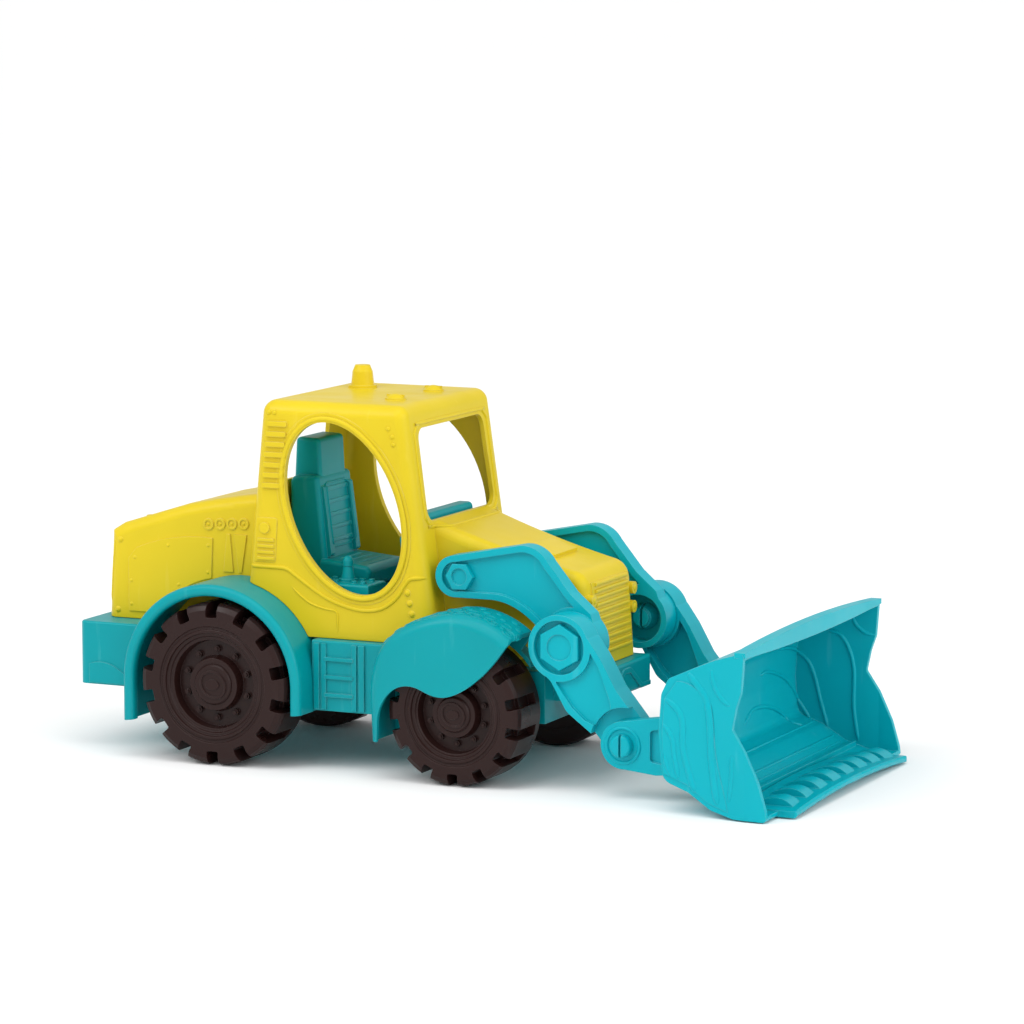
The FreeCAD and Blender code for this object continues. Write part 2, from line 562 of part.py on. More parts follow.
def hood_relief():
    """Raised details of both hoods: side panels, gauges, wedges, grille and lights."""
    y0, y1 = HOOD_Y - 1.0, HOOD_Y + 0.8
    panel = [(-80.0, 78.5), (-57.0, 78.5), ((-43.0, 93.0), (-22.0, 101.5)), (-21.0, 127.5),
             ((-48.0, 126.5), (-74.0, 119.0)), (-80.0, 112.0)]
    parts = [plate(panel, y0, y1, grow=-1.2)]
    dots = ((-77.0, 84.0), (-77.0, 98.0), (-74.5, 112.0), (-52.0, 120.5), (-25.0, 122.0), (-25.5, 106.0),
            (-45.0, 97.5), (-60.0, 84.0))
    parts += [ball(x, HOOD_Y - 0.2, z, 1.5) for x, z in dots]
    parts += [ball(x, HOOD_Y - 1.2, z, 2.2) for x, z in ((-84.5, 122.0), (-86.5, 80.0))]
    for i in range(4):
        spot = (-25.0 + 7.8 * i, 134.6 + 0.5 * i)
        parts.append(rod(spot, 3.4, y0, y1).cut(rod(spot, 2.2, y0 + 1.2, y1 + 1)))
        parts.append(ball(spot[0], HOOD_Y - 0.3, spot[1], 1.2))
    parts.append(plate([(-15.0, 107.0), (-8.5, 107.0), (-10.5, 129.5), (-12.8, 129.5)], y0, y1))
    parts.append(plate([(-5.0, 107.0), (-3.0, 107.0), (0.5, 129.5), (-8.0, 129.5)], y0, y1))
    sides = both_sides(fused(parts))
    ridges = []
    for i in range(11):
        z = 70.5 + 3.95 * i
        x = 217.2 - 3.2 * (z - NOSE_DECK_Z) / 46.0
        ridges.append(eased(box(x - 3, x + 2.0, -24.0 + 0.12 * i, 24.0 - 0.12 * i, z, z + 2.2), 0.7,
                            lambda edge: edge.BoundBox.XMin > x + 1.9))
    frame = box(210, 216.8, -26.5, 26.5, 67.5, 112.5)
    frame = frame.common(front_hood_block(-0.7, NOSE_DECK_Z))
    lights = []
    for z in (91.5, 102.5):
        for side in (-1, 1):
            lights.append(Part.makeCylinder(3.6, 7.5, vec(210.0, 29.2 * side, z), vec(1, 0, 0)))
            lights.append(ball(215.2, 29.2 * side, z, 3.0))
    vent = plate([(168.0, 126.0), (186.0, 121.5), (187.0, 126.0), (170.0, 130.6)], -16.0, 16.0)
    vent = eased(vent, 1.0, lambda edge: edge.BoundBox.XLength > 10 and edge.BoundBox.ZMax > 130)
    return sides + ridges + [frame, vent] + lights


# ---- inside the cab --------------------------------------------------------------------------
def cab_interior():
    """Floor pan with side consoles and a control lever."""
    floor_z, foot = CAB_FLOOR_Z, DECK_Z + SEAM
    y = CAB_Y - WALL - 0.5
    tub = fused([box(17.5, 119.0, -y, y, floor_z - 2.6, floor_z), box(20.0, 116.0, -38, 38, foot, floor_z)])
    tub = tub.cut(box(22.6, 113.4, -35.4, 35.4, foot - 1, floor_z - 2.6))
    consoles = fused(both_sides(eased(box(48.0, 84.0, 27.0, 50.0, floor_z - 1, 106.0), 1.5,
                                      lambda edge: edge.BoundBox.ZMin > 105.9)))
    buttons = [post(x, -y_at, 1.7, 105, 107.4) for x in (54.0, 60.0, 72.0, 78.0) for y_at in (33.0, 44.0)]
    lever = [post(65.0, -38.0, 5.2, 105, 107.6), Part.makeCone(4.2, 2.6, 9.0, vec(65.0, -38.0, 107.0)),
             post(65.0, -38.0, 3.1, 115.0, 118.4), ball(65.0, -38.0, 118.0, 3.0)]
    interior = fused([tub, consoles] + buttons + [fused(lever)])
    arch = plate(arch_path(FENDER_OUT_R, 0, 0), HOOD_Y, 100, grow=0.5)
    cowl = rod((WHEELBASE, FRONT_WHEEL_R), ARCH_LINER_R + 3.0, FRAME_Y - 1, 100)
    return interior.cut(both_sides(arch) + both_sides(cowl))


def dashboard():
    """Sloping dashboard on the cab floor, with three round dials."""
    dash = plate(rounded([(99.0, CAB_FLOOR_Z, 0), (116.5, CAB_FLOOR_Z, 0), (112.5, 147.0, 3), (103.0, 147.0, 3),
                          (95.0, 132.0, 3)]), -32, 32)
    dash = eased(dash, 1.5, lambda edge: edge.BoundBox.ZMin > 120 and edge.BoundBox.YLength < 0.1)
    dials = []
    for y_at in (-18.0, 0.0, 18.0):
        dials.append(Part.makeCylinder(5.5, 3.0, vec(101.2, y_at, 139.0), vec(-0.88, 0, 0.47)))
    return fused([dash] + dials)


def seat():
    """High-backed seat with a headrest, ribbed backrest and cushion."""
    base = CAB_FLOOR_Z
    back = plate(rounded([(18.8, base, 0), (44.0, base, 0), (42.0, 118.0, 0), (37.2, 164.0, 3), (18.8, 164.0, 5)]),
                 -22, 22)
    back = eased(back, 3.0, lambda edge: edge.BoundBox.ZLength > 20 and edge.BoundBox.YLength < 0.1)
    rest = plate(rounded([(18.8, 160.0, 0), (36.8, 160.0, 0), (35.6, 185.5, 3), (20.2, 186.0, 3)]), -16.5, 16.5)
    rest = eased(rest, 2.5, lambda edge: edge.BoundBox.ZLength > 15 and edge.BoundBox.YLength < 0.1)
    cushion = plate(rounded([(38.0, base, 0), (71.0, base, 3), (72.5, 112.5, 4), (40.0, 115.5, 0)]), -24, 24)
    cushion = eased(cushion, 2.5, lambda edge: edge.BoundBox.XLength > 25 and edge.BoundBox.ZMin > 105
                    and edge.BoundBox.YLength < 0.1)
    ribs = []
    for i in range(5):
        z = 124.0 + 7.6 * i
        x = 41.4 - 0.104 * (z - 118.0)
        ribs.append(box(x - 1.5, x + 1.2, -14.0, 14.0, z, z + 2.2))
    bolsters = [plate(rounded([(38.0, 117.0, 1), (45.0, 116.0, 2), (39.5, 158.0, 2), (35.0, 158.0, 1)]),
                      16.5 * side - 2.5, 16.5 * side + 2.5) for side in (-1, 1)]
    return fused([back, rest, cushion] + ribs + bolsters)


# ---- loader arms -----------------------------------------------------------------------------
UPPER_OUTLINE = [(141.0, 103.4), (162.0, 103.4), [(176.0, 100.8), (185.0, 95.9), (197.0, 85.0)],
                 (206.0, 78.0), (231.0, 84.0), (225.5, 99.0), (213.0, 109.8), (199.0, 126.8),
                 ((191.5, 133.8), (181.5, 135.6)), (139.4, 127.4), ((128.6, 115.0), (141.0, 103.4))]
ELBOW_R = 18.6
CUP_R = 14.0                 # open cup round the snap end of the elbow pin


def upper_arm():
    """Left upper arm: rimmed lever from the hood pivot to the elbow."""
    arm = plate(UPPER_OUTLINE, UPPER_IN, UPPER_OUT)
    knuckle = rod(ELBOW, ELBOW_R - 1.0, UPPER_IN, LOWER_IN - 0.4)
    arm = fused([arm, knuckle])
    keep_elbow = rod(ELBOW, ELBOW_R + 1.5, 0, 100)
    panel = [(144.0, 107.2), (162.5, 107.0), [(177.0, 104.6), (187.0, 99.2), (198.0, 89.5)], (222.0, 95.0),
             (210.0, 107.2), (196.0, 124.2), ((190.0, 130.2), (181.8, 131.8)), (141.2, 123.8),
             ((132.6, 115.4), (144.0, 107.2))]
    recess = plate(panel, UPPER_OUT - 3.0, UPPER_OUT + 1).cut(keep_elbow)
    back_recess = plate(panel, UPPER_IN - 1, UPPER_IN + 3.0).cut([keep_elbow, rod(BOOM_PIVOT, 9.0, 0, 100)])
    cup = rod(ELBOW, CUP_R, UPPER_IN - 1, LOWER_IN - 4.0)
    bore = rod(ELBOW, ELBOW_PIN_R + RUN, 0, 100)
    shaft = rod(BOOM_PIVOT, BOOM_SHAFT_R, 0, 100)
    arm = arm.cut([recess, back_recess, cup, bore, shaft])
    return arm


def pivot_cap():
    """Left hexagonal cap pressed on the end of the boom shaft."""
    y0, y1 = UPPER_OUT - 3.0, UPPER_OUT + 0.9
    cap = hexagon_flat(BOOM_PIVOT, 8.4, y0, y1).cut(rod(BOOM_PIVOT, 4.8, y1 - 1.3, y1 + 1))
    return cap.cut(rod(BOOM_PIVOT, BOOM_SHAFT_R, y0 - 1, y0 + 1.6))


def hexagon_flat(centre, radius, y0, y1):
    """Hexagonal bar along y with flats on top and bottom."""
    bar = hexagon(centre, radius, y0, y1)
    bar.rotate(vec(centre[0], 0, centre[1]), vec(0, 1, 0), 30)
    return bar


def boom_shaft():
    end = UPPER_OUT - 3.0 + 1.6
    return rod(BOOM_PIVOT, BOOM_SHAFT_R, -end, end)


LOWER_OUTLINE = [(199.5, 71.5, 4), (209.7, 63.2, 8), (219.6, 46.2, 10), (234.3, 35.3, 8), (243.5, 24.0, 2),
                 (256.0, 18.8, 0), (266.0, 30.0, 4), (264.5, 42.5, 6), (249.5, 60.9, 8), (240.3, 77.3, 10),
                 (231.0, 90.5, 4), (214.6, 82.2, 0)]
NECK_OUT = EAR_IN - 0.5      # outer face of the arm's thinner end, beside the bucket ear
NECK_R = 21.0


def lower_arm():
    """Left lower arm: deep lever from the elbow to the bucket ear."""
    arm = plate(rounded(LOWER_OUTLINE), LOWER_IN, LOWER_OUT)
    arm = fused([arm, rod(ELBOW, ELBOW_R, LOWER_IN, LOWER_OUT), rod(TIP_PIVOT, 11.3, LOWER_IN, LOWER_OUT)])
    panel = rounded([(213.0, 62.2, 2), (222.6, 49.0, 5), (230.6, 42.0, 4), (238.0, 39.0, 4), (246.8, 48.5, 3),
                     (246.0, 54.0, 3), (239.0, 72.5, 4), (231.0, 85.0, 2), (214.6, 82.2, 0)])
    outer_recess = plate(panel, LOWER_OUT - 2.6, LOWER_OUT + 1).cut(rod(ELBOW, ELBOW_R + 0.8, 0, 100))
    inner_recess = plate(panel, LOWER_IN - 1, LOWER_IN + 7.0)
    inner_recess = inner_recess.cut([rod(ELBOW, ELBOW_R + 0.8, 0, 100), rod(TIP_PIVOT, NECK_R + 2.0, 0, 100)])
    head_well = rod(ELBOW, ELBOW_R - 3.2, LOWER_OUT - 4.4, LOWER_OUT + 1)
    beside_ear = rod(TIP_PIVOT, NECK_R, NECK_OUT, LOWER_OUT + 1)
    bores = [rod(ELBOW, ELBOW_PIN_R, 0, 100), rod(TIP_PIVOT, TIP_PIN_R, 0, 100)]
    return arm.cut([outer_recess, inner_recess, head_well, beside_ear] + bores)


def elbow_pin():
    """Left elbow pin: hexagonal head, plain shank and a split snap end."""
    floor = LOWER_OUT - 4.4
    head = hexagon(ELBOW, 13.4, floor, LOWER_OUT - 0.4)
    head = eased(head, 0.8, lambda edge: edge.BoundBox.YMin > LOWER_OUT - 0.5)
    head = head.cut(rod(ELBOW, 7.4, LOWER_OUT - 1.4, LOWER_OUT + 1))
    neck_y = LOWER_IN - 4.0 - 0.4
    shank = rod(ELBOW, ELBOW_PIN_R, 45.0, floor + 1)
    barb = Part.makeCone(6.0, 8.0, 5.5, vec(ELBOW[0], neck_y - 6.5, ELBOW[1]), vec(0, 1, 0))
    collar = rod(ELBOW, 8.0, neck_y - 1.0, neck_y)
    pin = fused([head, shank, barb, collar])
    slit = box(ELBOW[0] - 0.8, ELBOW[0] + 0.8, 40, neck_y - 0.5, ELBOW[1] - 10, ELBOW[1] + 10)
    return pin.cut(slit)


def tip_pin():
    """Left bucket pin: pressed in the arm, with a split round head outside the bucket ear."""
    y_head = EAR_OUT + 0.35
    shank = rod(TIP_PIVOT, TIP_PIN_R, LOWER_IN + 1.0, y_head + 0.5)
    head = rod(TIP_PIVOT, 6.4, y_head, y_head + 4.6)
    head = eased(head, 1.6, lambda edge: edge.BoundBox.YMin > y_head + 4.5)
    pin = fused([shank, head])
    return pin.cut(box(TIP_PIVOT[0] - 0.7, TIP_PIVOT[0] + 0.7, y_head + 1.0, 100, 0, 100))


# ---- bucket ----------------------------------------------------------------------------------
BUCKET_SIDE = [(293.5, 75.0, 5), (289.0, 66.0, 6), (287.5, 45.0, 20), (290.0, 18.0, 8), (306.0, 12.8, 6),
               (320.0, 4.2, 8), (334.0, 0.6, 6), (354.0, 0.3, 2), (353.4, 6.0, 3), (349.0, 21.0, 20),
               (341.0, 38.0, 10), (333.2, 50.0, 3), (335.6, 62.0, 8), (338.6, 71.0, 4), (340.2, 93.2, 2),
               (322.0, 87.4, 10), (308.0, 81.6, 10)]
BOWL_SIDE = [(297.2, 72.6, 4), (292.3, 65.0, 5), (290.9, 45.0, 20), (293.0, 22.8, 6), (307.4, 17.4, 6),
             (321.6, 8.2, 6), (335.0, 3.6, 6), (400.0, 3.6, 0), (400.0, 110.0, 0), (352.0, 92.5, 0),
             (323.5, 83.8, 10), (309.6, 78.2, 8)]
LIP_Y = 90.0
TOOTH_FRONT = 359.5
TOOTH_COUNT = 8
TOOTH_PITCH = 21.5
TOOTH_W = 12.5


def bucket():
    """Bucket with a crowned top rim, ridged cutting lip, ribbed bowl and two hinge ears."""
    back_x, mouth_x = 287.5, 341.0
    flare = plan_prism([(back_x - 5, -BUCKET_BACK_Y), (mouth_x, -BUCKET_Y), (370, -BUCKET_Y), (370, BUCKET_Y),
                        (mouth_x, BUCKET_Y), (back_x - 5, BUCKET_BACK_Y)], -10, 120)
    inset = WALL + 0.2
    inner_flare = plan_prism([(back_x - 5, inset - BUCKET_BACK_Y), (mouth_x, inset - BUCKET_Y),
                              (410, inset - BUCKET_Y), (410, BUCKET_Y - inset), (mouth_x, BUCKET_Y - inset),
                              (back_x - 5, BUCKET_BACK_Y - inset)], -10, 120)
    shell = plate(rounded(BUCKET_SIDE), -120, 120).common(flare)
    bowl = plate(rounded(BOWL_SIDE), -120, 120).common(inner_flare)
    shell = shell.cut(bowl)
    ears = [ear.cut(bowl) for ear in both_sides(hinge_ear())]
    shell = fused([shell, top_rim(), bowl_step()] + lip() + both_sides(side_waves()) + ears)
    return shell.cut(rod(TIP_PIVOT, TIP_PIN_R + RUN, -90, 90))


def lens(half, ends, top_mid, low_ends, low_mid, x0, x1):
    """Slab along x whose cross-section lies between two arcs across the bucket."""
    points = {"left_top": (-half, ends), "right_top": (half, ends), "right_low": (half, low_ends)}
    path = [points["left_top"], ((0, top_mid), points["right_top"]), points["right_low"],
            ((0, low_mid), (-half, low_ends))]
    turned = plate(path, 0, x1 - x0)
    turned.rotate(vec(0, 0, 0), vec(0, 0, 1), -90)
    turned = turned.mirror(vec(0, 0, 0), vec(0, 1, 0))
    turned.translate(vec(x0, 0, 0))
    return turned


def top_rim():
    return lens(BUCKET_Y - 0.4, 93.0, 96.6, 90.0, 87.6, 334.5, 341.0)


def lip():
    """Cutting lip that arches up in the middle, with raised teeth that slope up towards its edge."""
    def low(y):
        return 0.4 + 3.8 * (1 - (y / LIP_Y) ** 2)
    slab = lens(LIP_Y, 4.2, 8.0, 0.4, 4.2, 331.0, FRONT_END)
    slab = eased(slab, 1.2, lambda edge: edge.BoundBox.XMin > FRONT_END - 0.1)
    teeth = []
    for i in range(TOOTH_COUNT):
        y = TOOTH_PITCH * (i - (TOOTH_COUNT - 1) / 2)
        top = low(y) + 3.8
        side = [(336.0, top - 2.0), (TOOTH_FRONT, top - 2.0), (TOOTH_FRONT, top - 0.8),
                ((355.5, top + 2.4), (349.0, top + 4.0)), ((342.0, top + 2.4), (336.0, top - 0.6))]
        tooth = plate(side, y - TOOTH_W / 2, y + TOOTH_W / 2)
        teeth.append(tooth)
    return [fused([slab] + teeth)]


def bowl_step():
    """Low step across the floor of the bowl."""
    return box(326.5, 329.0, -100, 100, 3.0, 8.6)


def side_waves():
    """Layered wave relief on the left side wall."""
    wave = [(291.0, 22.0), (306.0, 17.0), (319.0, 8.0), (331.0, 4.0),
            [(327.0, 20.0), (323.0, 38.0), (320.5, 56.0), (312.0, 70.0), (299.0, 74.0)], (291.5, 64.0), (290.0, 45.0)]
    slab = plate(wave, 90.0, 120.0)
    skin = plan_prism([(282.5, BUCKET_BACK_Y - 1.0), (341.0, BUCKET_Y - 1.0), (341.0, BUCKET_Y + 0.0),
                       (282.5, BUCKET_BACK_Y + 1.2)], -10, 120)
    return slab.common(skin)


def hinge_ear():
    """Left hinge ear: disc round the pivot and a box bracket on the back of the bucket."""
    disc = rod(TIP_PIVOT, 13.6, EAR_IN, EAR_OUT)
    arm = plate([(252.6, 43.4), (293.0, 49.6), (293.0, 16.0), (275.0, 14.5), (252.0, 16.8)],
                EAR_IN, EAR_OUT)
    web = plate([(275.0, 26.0), (293.0, 24.0), (293.0, 40.0), (275.0, 36.0)], EAR_IN - 8, EAR_OUT)
    window = plate(rounded([(271.5, 22.0, 2), (284.5, 20.0, 2), (284.5, 42.0, 2), (271.5, 39.5, 2)]),
                   EAR_OUT - 2.2, EAR_OUT + 1)
    return fused([disc, arm, web]).cut(window)


# ---- assembly --------------------------------------------------------------------------------
def all_nodes():
    nodes = {
        "chassis_frame": chassis_frame(),
        "base_plate": base_plate(),
        "base_screws": base_screws(),
        "body_screws": body_screws(),
        "body_shell": body_shell(),
        "cab_interior": cab_interior(),
        "dashboard": dashboard(),
        "seat": seat(),
        "boom_shaft": boom_shaft(),
        "bucket": bucket(),
    }
    nodes.update(wheel_set("rear", 0.0, REAR_WHEEL_R))
    nodes.update(wheel_set("front", WHEELBASE, FRONT_WHEEL_R))
    pairs = {"rear_fender": rear_fender, "front_fender": front_fender, "upper_arm": upper_arm,
             "pivot_cap": pivot_cap, "lower_arm": lower_arm, "elbow_pin": elbow_pin, "tip_pin": tip_pin}
    for name, maker in pairs.items():
        left = maker()
        nodes[name + "_left"] = left
        nodes[name + "_right"] = mirrored(left)
    return nodes


def export():
    os.makedirs("parts", exist_ok=True)
    for name, shape in all_nodes().items():
        shape.translate(vec(-ORIGIN_X, 0, 0))
        shape.exportStep("parts/" + name + ".step")


export()
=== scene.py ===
"""Looks of the toy wheeled loader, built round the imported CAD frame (metres, +X forwards, +Z up)."""
import bmesh
import bpy
import json
import math
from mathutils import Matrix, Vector
from mathutils.bvhtree import BVHTree


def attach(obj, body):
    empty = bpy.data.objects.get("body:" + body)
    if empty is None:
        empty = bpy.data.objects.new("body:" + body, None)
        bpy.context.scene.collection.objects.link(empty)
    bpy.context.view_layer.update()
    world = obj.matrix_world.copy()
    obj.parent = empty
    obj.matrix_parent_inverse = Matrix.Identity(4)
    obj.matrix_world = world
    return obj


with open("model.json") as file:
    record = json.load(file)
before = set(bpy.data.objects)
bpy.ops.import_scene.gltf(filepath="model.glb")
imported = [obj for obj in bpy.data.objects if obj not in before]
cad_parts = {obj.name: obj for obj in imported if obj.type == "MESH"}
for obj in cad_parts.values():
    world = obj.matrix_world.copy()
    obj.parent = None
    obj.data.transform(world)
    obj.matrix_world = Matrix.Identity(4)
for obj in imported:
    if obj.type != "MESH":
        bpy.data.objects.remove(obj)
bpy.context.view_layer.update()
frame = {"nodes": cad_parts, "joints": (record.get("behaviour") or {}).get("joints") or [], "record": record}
NODES = frame["nodes"]
MM = 0.001


# ---- camera, floor and light -------------------------------------------------------------------
CAMERA_AIM = Vector((0.0219, 0.0, 0.1467))
CAMERA_DISTANCE = 2.624
CAMERA_AZIMUTH = math.radians(24.55)
CAMERA_ELEVATION = math.radians(7.70)
CAMERA_LENS = 159.1
SENSOR_WIDTH = 36.0          # mm
SKY = 0.67                   # strength of the even white surroundings
FLOOR_SIZE = 240.0
FLOOR_DROP = 0.4 * MM        # gap that keeps the floor from sharing a plane with the wheels
FLOOR_GREY = 0.94
LIGHT_CENTRE = Vector((0.0, 0.0, 0.1))
SUNS = (                     # name, (azimuth, elevation) in degrees, strength, softness in degrees
    ("key", (-112, 50), 0.90, 50),
    ("fill", (-40, 30), 0.30, 70),
    ("front", (-8, 22), 1.10, 50),
)
SOFTBOXES = (                # name, (azimuth, elevation) in degrees, watts, diameter in metres
    ("gloss_left", (-130, 35), 9, 0.9),
    ("gloss_top", (-60, 75), 9, 1.2),
)
SUN_DISTANCE = 3.0
SOFTBOX_DISTANCE = 2.4


def outward(from_axis, elevation):
    """Unit vector from its angle in the ground plane (as a cosine and sine) and its elevation."""
    flat = math.cos(elevation)
    return Vector((from_axis[0] * flat, from_axis[1] * flat, math.sin(elevation)))


def stand_back(obj, centre, direction, distance):
    """Put a camera or light at a distance from centre along direction, and turn it to face centre."""
    obj.location = centre + direction * distance
    obj.rotation_euler = direction.to_track_quat("Z", "Y").to_euler()
    bpy.context.scene.collection.objects.link(obj)


def add_camera():
    data = bpy.data.cameras.new("camera")
    data.lens, data.sensor_width = CAMERA_LENS, SENSOR_WIDTH
    camera = bpy.data.objects.new("camera", data)
    direction = outward((math.sin(CAMERA_AZIMUTH), -math.cos(CAMERA_AZIMUTH)), CAMERA_ELEVATION)
    stand_back(camera, CAMERA_AIM, direction, CAMERA_DISTANCE)
    bpy.context.scene.camera = camera


def aimed(name, data, direction, distance):
    """Light placed along direction (azimuth from +X towards +Y, elevation) and turned to the toy."""
    azimuth, elevation = (math.radians(angle) for angle in direction)
    light = bpy.data.objects.new(name, data)
    stand_back(light, LIGHT_CENTRE, outward((math.cos(azimuth), math.sin(azimuth)), elevation), distance)


def add_sun(name, direction, strength, softness):
    data = bpy.data.lights.new(name, "SUN")
    data.energy, data.angle = strength, math.radians(softness)
    aimed(name, data, direction, SUN_DISTANCE)


def add_softbox(name, direction, power, size):
    data = bpy.data.lights.new(name, "AREA")
    data.shape, data.size, data.energy = "DISK", size, power
    aimed(name, data, direction, SOFTBOX_DISTANCE)


def add_studio():
    """Pale floor under an even white sky, with three soft suns and two softboxes for gloss."""
    bpy.ops.mesh.primitive_plane_add(size=FLOOR_SIZE, location=(0, 0, -FLOOR_DROP))
    floor = bpy.context.object
    floor.name = "floor"
    material = bpy.data.materials.new("studio_floor")
    material.use_nodes = True
    shader = material.node_tree.nodes["Principled BSDF"]
    shader.inputs["Base Color"].default_value = (FLOOR_GREY, FLOOR_GREY, FLOOR_GREY, 1)
    shader.inputs["Roughness"].default_value = 0.9
    shader.inputs["Specular IOR Level"].default_value = 0.0
    floor.data.materials.append(material)
    world = bpy.data.worlds.new("studio")
    world.use_nodes = True
    background = world.node_tree.nodes["Background"]
    background.inputs["Color"].default_value = (1, 1, 1, 1)
    background.inputs["Strength"].default_value = SKY
    bpy.context.scene.world = world
    bpy.context.scene.view_settings.view_transform = "Standard"
    for sun in SUNS:
        add_sun(*sun)
    for softbox in SOFTBOXES:
        add_softbox(*softbox)


# ---- materials ---------------------------------------------------------------------------------
EDGE_RADIUS = 0.6 * MM       # rounding that the shader gives to moulded edges
GRAIN_DEPTH = 0.035 * MM
SCUFFS = 0.10                # strongest cover of the pale scuffs
GLOW_RADIUS = (0.004, 0.003, 0.001)


def node(tree, kind, **inputs):
    made = tree.nodes.new(kind)
    for name, value in inputs.items():
        made.inputs[name.replace("_", " ")].default_value = value
    return made


def noise(tree, coords, scale, detail=3.0, stretch=None):
    """Noise texture over the object's own coordinates, in cells per metre."""
    source = coords
    if stretch:
        mapping = node(tree, "ShaderNodeMapping")
        mapping.inputs["Scale"].default_value = stretch
        tree.links.new(coords, mapping.inputs["Vector"])
        source = mapping.outputs["Vector"]
    made = node(tree, "ShaderNodeTexNoise", Scale=scale, Detail=detail, Roughness=0.55)
    tree.links.new(source, made.inputs["Vector"])
    return made.outputs["Fac"]


def ramp(tree, value, low, high, start, end):
    """Maps value from low..high to start..end."""
    made = node(tree, "ShaderNodeMapRange")
    for name, number in (("From Min", low), ("From Max", high), ("To Min", start), ("To Max", end)):
        made.inputs[name].default_value = number
    tree.links.new(value, made.inputs["Value"])
    return made.outputs["Result"]


def mixed(tree, factor, first, second):
    """Colour mix; first and second are colours or sockets."""
    made = tree.nodes.new("ShaderNodeMix")
    made.data_type = "RGBA"
    for socket, value in ((made.inputs[0], factor), (made.inputs[6], first), (made.inputs[7], second)):
        if isinstance(value, (tuple, float)):
            socket.default_value = value
        else:
            tree.links.new(value, socket)
    return made.outputs[2]


def math_node(tree, operation, first, second):
    made = tree.nodes.new("ShaderNodeMath")
    made.operation = operation
    tree.links.new(first, made.inputs[0])
    tree.links.new(second, made.inputs[1])
    return made.outputs["Value"]


def new_shader(name):
    """New node material, its tree, its shader and the object coordinates."""
    material = bpy.data.materials.new(name)
    material.use_nodes = True
    tree = material.node_tree
    coords = node(tree, "ShaderNodeTexCoord").outputs["Object"]
    return material, tree, tree.nodes["Principled BSDF"], coords


def srgb(red, green, blue):
    """Linear RGBA from 0-255 display values."""
    def linear(c):
        c /= 255.0
        return c / 12.92 if c <= 0.04045 else ((c + 0.055) / 1.055) ** 2.4
    return (linear(red), linear(green), linear(blue), 1.0)


def moulded_plastic(name, colour, pale_tint, roughness=0.33, gloss=0.17, glow=0.06):
    """Satin moulded plastic: soft colour drift, fine mould grain, faint scuffs and patchy paler edges."""
    material, tree, shader, coords = new_shader(name)
    drift = noise(tree, coords, 9.0)
    darker = tuple(c * 0.90 for c in colour[:3]) + (1.0,)
    base = mixed(tree, ramp(tree, drift, 0.35, 0.65, 0.0, 1.0), darker, colour)

    # Paler colour mixed in patchily wherever the bevel normal bends away at an edge.
    bevel = node(tree, "ShaderNodeBevel", Radius=EDGE_RADIUS)
    bevel.samples = 6
    geometry = node(tree, "ShaderNodeNewGeometry")
    edge_dot = tree.nodes.new("ShaderNodeVectorMath")
    edge_dot.operation = "DOT_PRODUCT"
    tree.links.new(bevel.outputs["Normal"], edge_dot.inputs[0])
    tree.links.new(geometry.outputs["Normal"], edge_dot.inputs[1])
    on_edge = ramp(tree, edge_dot.outputs["Value"], 0.985, 0.90, 0.0, 1.0)
    patchy = ramp(tree, noise(tree, coords, 60.0, 4.0), 0.40, 0.62, 0.15, 1.0)
    pale_edge = ramp(tree, math_node(tree, "MULTIPLY", on_edge, patchy), 0.0, 1.0, 0.0, 0.34)
    base = mixed(tree, pale_edge, base, pale_tint)

    streaks = noise(tree, coords, 130.0, 5.0, stretch=(1.0, 1.0, 0.12))
    scuff_mask = ramp(tree, streaks, 0.63, 0.76, 0.0, SCUFFS)
    base = mixed(tree, scuff_mask, base, pale_tint)
    tree.links.new(base, shader.inputs["Base Color"])

    sheen = ramp(tree, noise(tree, coords, 45.0, 4.0), 0.3, 0.7, roughness - 0.05, roughness + 0.07)
    tree.links.new(math_node(tree, "ADD", sheen, scuff_mask), shader.inputs["Roughness"])

    fine = noise(tree, coords, 1500.0, 2.0)
    slow = noise(tree, coords, 140.0, 2.0)
    height = mixed(tree, 0.75, fine, slow)
    bump = node(tree, "ShaderNodeBump", Strength=0.35, Distance=GRAIN_DEPTH)
    tree.links.new(height, bump.inputs["Height"])
    tree.links.new(bevel.outputs["Normal"], bump.inputs["Normal"])
    tree.links.new(bump.outputs["Normal"], shader.inputs["Normal"])
    shader.inputs["IOR"].default_value = 1.49
    shader.inputs["Specular IOR Level"].default_value = gloss
    shader.inputs["Subsurface Weight"].default_value = glow
    shader.inputs["Subsurface Radius"].default_value = GLOW_RADIUS
    shader.inputs["Subsurface Scale"].default_value = 1.0
    return material


def plated_steel():
    """Zinc-plated steel rod with fine turning lines along it."""
    material, tree, shader, coords = new_shader("plated_steel")
    lines = noise(tree, coords, 900.0, 3.0, stretch=(1.0, 0.05, 1.0))
    tint = mixed(tree, ramp(tree, lines, 0.3, 0.7, 0.0, 1.0), (0.42, 0.42, 0.44, 1.0),
                 (0.66, 0.66, 0.68, 1.0))
    tree.links.new(tint, shader.inputs["Base Color"])
    tree.links.new(ramp(tree, lines, 0.3, 0.7, 0.24, 0.42), shader.inputs["Roughness"])
    shader.inputs["Metallic"].default_value = 1.0
    return material


YELLOW = srgb(217, 192, 34)
TEAL = srgb(0, 150, 158)
BRIGHT_TEAL = srgb(0, 170, 184)
BROWN = srgb(40, 22, 20)


def make_materials():
    return {
        "yellow_plastic": moulded_plastic("yellow_plastic", YELLOW, srgb(246, 232, 140)),
        "teal_plastic": moulded_plastic("teal_plastic", TEAL, srgb(130, 214, 216)),
        "arm_plastic": moulded_plastic("arm_plastic", BRIGHT_TEAL, srgb(140, 222, 228)),
        "wheel_plastic": moulded_plastic("wheel_plastic", BROWN, srgb(84, 70, 68), roughness=0.30, gloss=0.2,
                                         glow=0.0),
        "steel": plated_steel(),
    }


